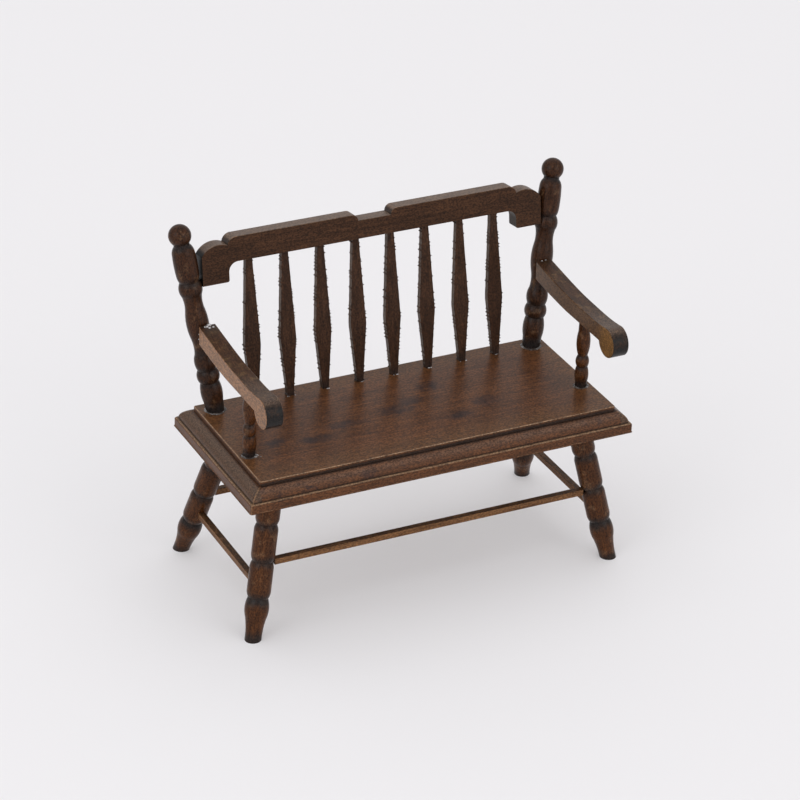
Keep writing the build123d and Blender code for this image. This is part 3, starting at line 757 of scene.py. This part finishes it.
# Dark clouds: middle along the pew, middle from the setting-out line, half sizes.
CLOUDS = [
    (-26.0, -26.0, 5.5, 2.4),
    (-16.5, -22.5, 6.0, 2.2),
    (-3.0, -21.0, 5.5, 2.8),
    (2.0, -17.5, 4.5, 2.4),
    (10.0, -13.5, 4.0, 3.2),
    (19.5, -24.5, 5.0, 3.2),
    (10.0, -29.0, 5.5, 2.2),
    (-36.5, -24.0, 4.5, 2.2),
]


def seat_marks(wood):
    x, y, z = wood.axes(wood.place())
    ragged = wood.noise(wood.place(), 0.30, 4.0, 0.65)
    fine = wood.noise(wood.place((0, 0, 0), (0.25, 1, 1)), 2.2, 3.0, 0.6)
    warp = wood.noise(wood.place(), 0.26, 4.0, 0.7)
    inside_end = x.absolute() * -1 + TOP_HALF
    inside_front = y - TOP_FRONT
    inside_back = y * -1 + SETTING_Y
    margin = inside_end.smaller(inside_front).smaller(inside_back)
    on_top = z.step(SEAT_TOP - 0.20, SEAT_TOP - 0.08)
    golden = on_top * margin.step(9.0, 0.0) * (ragged * 0.6 + 0.15)
    blotches = None
    for cx, cy, rx, ry in CLOUDS:
        dx = (x - cx) / rx
        dy = (y - (SETTING_Y + cy)) / ry
        spread = dx * dx + dy * dy + (warp * 3.0 - 1.5)
        cloud = spread.step(1.2, -0.5)
        blotches = cloud if blotches is None else blotches.larger(cloud)
    # end_sheen lays a painted grey sheen on the end mouldings above the fascia
    moulding = (x.absolute() - TOP_HALF - 0.4).step(0.0, 0.3)
    moulding = moulding * z.step(SEAT_BASE + 2.2, SEAT_BASE + 2.6)
    end_sheen = moulding * (fine * 0.6 + 0.25)
    # crown_highlight is a painted highlight along the ovolo's crown
    crown_highlight = z.band(SEAT_TOP - 1.9, 0.9) * (ragged * 0.6 + 0.15)
    # ovolo_foot_shade is painted shade in the crease at the ovolo's foot
    ovolo_foot_shade = z.band(LEDGE_Z + 0.10, 0.45) * 0.75
    front_face = (TOP_FRONT - y).step(0.5, 0.9) * z.step(LEDGE_Z, LEDGE_Z + 0.5)
    bruises = front_face * warp.step(0.50, 0.62) * 0.65
    # quirk is a painted shadow in the quirk under the raised top
    quirk = (SEAT_TOP - 0.35 - z).step(0.0, 0.35) * (z - SEAT_TOP + 1.45).step(0.0, 0.25)
    quirk = quirk * ((x.absolute() - TOP_HALF).step(0.05, -0.3) * 0.35 + 0.5)
    top_line = margin.absolute().step(0.30, 0.08) * on_top
    top_line = top_line * (ragged.step(0.30, 0.55) * 0.6 + 0.35)
    fascia_line = (z - LEDGE_Z + 0.30).step(0.0, 0.2) * (LEDGE_Z + 0.05 - z).step(0.0, 0.1)
    low_line = z.band(SEAT_BASE + 0.1, 0.22) * fine.step(0.4, 0.6) * 0.4
    across = (x.absolute() - TOP_HALF) / END_BORDER - (TOP_FRONT - y) / FRONT_BORDER
    mitre = across.absolute().step(0.12, 0.02) * (TOP_FRONT - y).step(0.1, 0.3) * 0.5
    return [
        (golden, (0.118, 0.060, 0.026)),
        (blotches * on_top * 0.88, (0.0240, 0.0140, 0.0135)),
        (bruises, (0.0230, 0.0125, 0.0130)),
        (crown_highlight, (0.135, 0.085, 0.062)),
        (end_sheen, (0.072, 0.052, 0.037)),
        (quirk.larger(ovolo_foot_shade), (0.012, 0.0075, 0.0055)),
        (top_line, (0.260, 0.170, 0.105)),
        (fascia_line * (fine.step(0.25, 0.60) * 0.6 + 0.25), (0.230, 0.145, 0.085)),
        (low_line.larger(mitre), TAN),
    ]


seat_wood = stained_wood("seat_finish", (0, 0, 0), 2.0, SEAT_TONES, seat_marks, 0.33, 0.14, 0.03, 0.20)
finish_mesh("seat_board", bm, seat_wood, ["seat"])

# %% [markdown]
# The stretchers are thin square sticks pushed between the legs. They are
# sawn like the rest, with barely broken edges, and the stain on them is
# thin and warm.

# %% Stretchers
STRETCHER = 1.62


def leg_axis_at(foot_xy, lean, z):
    """Where a right-hand leg's axis passes height z."""
    return Vector((foot_xy[0] + lean[0] * z, foot_xy[1] + lean[1] * z, z))


def stick(name, start, end, node, material):
    """Square stick from start to end, in mm, with two faces level."""
    run = (end - start).normalized()
    side = Vector((0, 0, 1)).cross(run).normalized()
    lift = run.cross(side)
    middle = (start + end) / 2
    length = (end - start).length

    def place(u, v, out):
        return (middle + run * u + lift * v + side * out) * MM

    half = STRETCHER / 2
    stations = 24
    low = [(-length / 2 + length * i / stations, -half) for i in range(stations + 1)]
    high = [(u, half) for u, v in reversed(low)]
    bm = sawn(low + high, STRETCHER, place, 0.16)
    finish_mesh(name, bm, material, [node])


def stick_marks(wood):
    nx, ny, nz = facing_of(wood)
    fibre = wood.noise(wood.place(), 0.8, 3.0, 0.6)
    # top paints the sticks' upper faces dark: painted shade under the seat
    top = nz.step(0.5, 0.8) * (fibre.step(0.3, 0.6) * 0.35 + 0.25)
    return [(wood.attribute("edge") * fibre.step(0.45, 0.6) * 0.35, TAN), (top, DEEP)]


cross_wood = stained_wood("cross_stick_finish", (0, 0, 0), 53.0, STICK_TONES, stick_marks, 0.42)
along_side = (0, 0, math.pi / 2)
side_wood = stained_wood("side_stick_finish", along_side, 59.0, STICK_TONES, stick_marks, 0.42)
INTO_LEG = 2.95
FRONT_STICK_Z, REAR_STICK_Z, SIDE_STICK_Z = 18.2, 17.8, 12.65
front_at = leg_axis_at(FRONT_FOOT, FRONT_LEAN, FRONT_STICK_Z)
rear_at = leg_axis_at(BACK_FOOT, BACK_LEAN, REAR_STICK_Z)
for row, at in (("front", front_at), ("rear", rear_at)):
    x = at.x - INTO_LEG
    stick(f"{row}_stick", Vector((-x, *at.yz)), Vector((x, *at.yz)), f"stretcher_{row}", cross_wood)
for side, sign in (("left", -1), ("right", 1)):
    a = leg_axis_at(FRONT_FOOT, FRONT_LEAN, SIDE_STICK_Z)
    b = leg_axis_at(BACK_FOOT, BACK_LEAN, SIDE_STICK_Z)
    a.x, b.x = a.x * sign, b.x * sign
    run = (b - a).normalized() * INTO_LEG
    stick(f"side_stick_{side}", a + run, b - run, f"stretcher_{side}", side_wood)

# %% [markdown]
# Clear glue squeezed out where the posts and slats meet the seat. It dried
# as a low glassy collar that takes the colour of the stain under it, so only
# its glints show. A collar is a small fillet profile spun round the post,
# pushed a little in and out so that it is not a perfect ring.

# %% Glue collars
glue = Finish("clear_glue")
patch = glue.noise(glue.place(), 0.9, 2.0, 0.5)
glue.finish(
    # The pale grey patches in the base colour sit where the coat is glossy: painted glints
    Base_Color=glue.mix(patch.step(0.52, 0.70), (0.022, 0.013, 0.009), (0.16, 0.14, 0.13)),
    Roughness=patch.step(0.7, 0.4) * 0.3 + 0.08,
    IOR=1.48,
    Coat_Weight=patch.step(0.45, 0.65),
    Coat_Roughness=0.04,
)


def collar(name, centre, radius, width, height, seed):
    """Low ring of glue round a post foot, centre in mm on the seat top."""
    bm = bmesh.new()
    profile = [
        (radius - 0.25, 0.0),
        (radius - 0.25, height),
        (radius + width * 0.25, height * 0.72),
        (radius + width * 0.65, height * 0.38),
        (radius + width, 0.0),
    ]
    verts = [bm.verts.new((r, 0, h)) for r, h in profile]
    edges = [bm.edges.new(pair) for pair in zip(verts, verts[1:] + verts[:1])]
    bmesh.ops.spin(
        bm, geom=verts + edges, cent=(0, 0, 0), axis=(0, 0, 1), angle=2 * math.pi,
        steps=32, use_merge=True, use_duplicate=False,
    )
    wave = random.Random(seed)
    phases = [wave.uniform(0, 6.28) for _ in range(3)]
    for vert in bm.verts:
        angle = math.atan2(vert.co.y, vert.co.x)
        swell = sum(math.sin((k + 2) * angle + p) for k, p in enumerate(phases)) / 3
        distance = math.hypot(vert.co.x, vert.co.y)
        if distance > radius:
            push = 1 + swell * 0.35 * (distance - radius) / radius
            vert.co.x *= push
            vert.co.y *= push
        if vert.co.z > 0.01:
            vert.co.z *= 1 + 0.4 * swell
        vert.co = (vert.co + Vector(centre)) * MM
    finish_mesh(name, bm, glue.material, smooth_below=60)


for side, sign in (("left", -1), ("right", 1)):
    post_foot = (sign * POST_X, BACK_FOOT_Y, SEAT_TOP)
    arm_post_foot = (sign * ARM_POST_X, ARM_POST_Y, SEAT_TOP)
    collar(f"glue_post_{side}", post_foot, 2.22, 0.42, 0.28, 5 + sign)
    collar(f"glue_arm_post_{side}", arm_post_foot, 1.46, 0.42, 0.26, 15 + sign)

# %% [markdown]
# Some glue dried milky, in small curds where the arms meet the posts and in
# beads at the feet of the slats. Each bead is a ball, squashed and dented at
# random, half sunk in the wood it sticks to.

# %% Glue beads
milky = Finish("dried_glue")
curd = milky.noise(milky.place(), 2.4, 3.0, 0.6)
milky.finish(
    Base_Color=milky.mix(curd.step(0.35, 0.65), (0.05, 0.035, 0.028), (0.62, 0.60, 0.60)),
    Roughness=0.15,
    IOR=1.48,
    Normal=milky.bump(curd, 0.6, 0.08),
    Coat_Weight=0.8,
    Coat_Roughness=0.05,
)


def beads(name, spots, seed):
    """Squashed balls of glue; spots lists (x, y, z, size) in mm."""
    wobble = random.Random(seed)
    bm = bmesh.new()
    for x, y, z, size in spots:
        ball = bmesh.ops.create_icosphere(bm, subdivisions=2, radius=size)["verts"]
        for vert in ball:
            vert.co *= wobble.uniform(0.88, 1.12)
        stretch = (wobble.uniform(0.9, 1.4), wobble.uniform(0.8, 1.1), wobble.uniform(0.55, 0.8))
        bmesh.ops.scale(bm, vec=stretch, verts=ball)
        bmesh.ops.translate(bm, vec=(x, y, z), verts=ball)
    bmesh.ops.scale(bm, vec=(MM, MM, MM), verts=bm.verts)
    finish_mesh(name, bm, milky.material, smooth_below=180)


slat_spots = []
sprinkle = random.Random(3)
for number in range(1, 9):
    middle = SPINDLE_PITCH * (number - 4.5)
    for _ in range(3):
        x = middle + sprinkle.uniform(-0.9, 1.1)
        slat_spots.append((x, BACK_FOOT_Y - 0.85, SEAT_TOP + 0.02, sprinkle.uniform(0.10, 0.22)))
beads("glue_beads_slats", slat_spots, 11)
rear = SETTING_Y - 4.1
curds = [
    (-44.3, rear, 65.75, 0.55),
    (-45.2, rear - 0.5, 65.72, 0.42),
    (-43.6, rear - 0.9, 65.6, 0.34),
    (-44.6, rear - 1.1, 65.62, 0.30),
    (-46.4, rear + 0.3, 63.6, 0.36),
    (-46.3, rear + 0.6, 62.2, 0.40),
    (-46.0, rear + 0.5, 61.2, 0.30),
    (44.2, rear + 0.2, 65.7, 0.22),
    (45.3, rear + 0.2, 65.7, 0.24),
]
beads("glue_curds_arms", curds, 13)
drops = [
    (-42.1, SETTING_Y - 27.9, SEAT_TOP, 0.30),
    (-41.6, SETTING_Y - 28.6, SEAT_TOP, 0.22),
    (-42.6, SETTING_Y - 28.4, SEAT_TOP, 0.18),
]
beads("glue_drops_seat", drops, 17)

# %% [markdown]
# The pew stands on a wide pale sheet that glows a little of its own: painted
# light, not a lamp, that keeps the shadows soft and pale. The sky is a dome,
# brighter overhead than at the horizon, so the varnish shows little glare.
# Three large lamps add the shaping: one behind and above, one low on the
# left and one in front.

# %% Table, lamps and sky
HORIZON, ZENITH = 0.73, 0.97
table = Finish("table_sheet")
table.finish(
    Base_Color=(0.61, 0.60, 0.61),
    Roughness=0.9,
    # The emission is painted light: the sheet glows by itself to lift the shadows on it
    Emission_Color=(1.0, 0.985, 0.99),
    Emission_Strength=0.22,
)
bm = bmesh.new()
bmesh.ops.create_grid(bm, x_segments=4, y_segments=4, size=3.0)
mesh = bpy.data.meshes.new("table")
bm.to_mesh(mesh)
bm.free()
mesh.materials.append(table.material)
floor = bpy.data.objects.new("table", mesh)
bpy.context.scene.collection.objects.link(floor)


LAMPS_FACE = Vector((0, 0, 0.03))


def lamp(name, place, size, watts, colour):
    """A square soft lamp at place, in metres, facing the pew."""
    light = bpy.data.lights.new(name, "AREA")
    light.shape = "SQUARE"
    light.size = size
    light.energy = watts
    light.color = colour
    holder = bpy.data.objects.new(name, light)
    facing = (LAMPS_FACE - Vector(place)).normalized()
    holder.rotation_euler = facing.to_track_quat("-Z", "Y").to_euler()
    holder.location = place
    bpy.context.scene.collection.objects.link(holder)


lamp("overhead", (0.15, 0.60, 1.00), 1.6, 1.6, (1.0, 0.985, 0.98))
lamp("left_fill", (-1.1, -0.35, 0.65), 0.9, 3.4, (0.97, 0.98, 1.0))
lamp("front_fill", (0.45, -1.15, 0.55), 1.0, 3.4, (1.0, 0.98, 0.96))
world = bpy.data.worlds.new("soft_sky")
world.use_nodes = True
sky = Tree(world.node_tree)
height = sky.axes(sky.node("ShaderNodeTexCoord", output="Generated"))[2]
levels = {"Value": height, "From Min": 0.0, "From Max": 1.0, "To Min": HORIZON, "To Max": ZENITH}
dome = sky.node("ShaderNodeMapRange", levels, interpolation_type="SMOOTHSTEP")
background = sky.tree.nodes["Background"]
sky.feed(background.inputs["Strength"], dome)
sky.feed(background.inputs["Color"], (0.955, 0.955, 0.970))
bpy.context.scene.world = world
bpy.context.scene.view_settings.view_transform = "Standard"

# %% [markdown]
# The camera looks down at the pew from the front left through a long lens.
# Its place and its three angles fix the view.

# %% Camera
AZIMUTH, ELEVATION, ROLL = math.radians(-26.883), math.radians(28.662), math.radians(1.960)
LENS, SENSOR = 147.15, 36.0
eye = Vector((-311.02, SETTING_Y - 630.36, 418.81)) * MM
level = Vector((math.sin(AZIMUTH), -math.cos(AZIMUTH), 0)) * math.cos(ELEVATION)
back = level + Vector((0, 0, math.sin(ELEVATION)))
right = (-back).cross(Vector((0, 0, 1))).normalized()
up = right.cross(-back)
level_x = right * math.cos(ROLL) + up * math.sin(ROLL)
level_y = up * math.cos(ROLL) - right * math.sin(ROLL)
camera_data = bpy.data.cameras.new("camera")
camera_data.lens = LENS
camera_data.sensor_width = SENSOR
camera = bpy.data.objects.new("camera", camera_data)
turned = Matrix((level_x, level_y, back)).transposed().to_4x4()
camera.matrix_world = Matrix.Translation(eye) @ turned
bpy.context.scene.collection.objects.link(camera)
bpy.context.scene.camera = camera
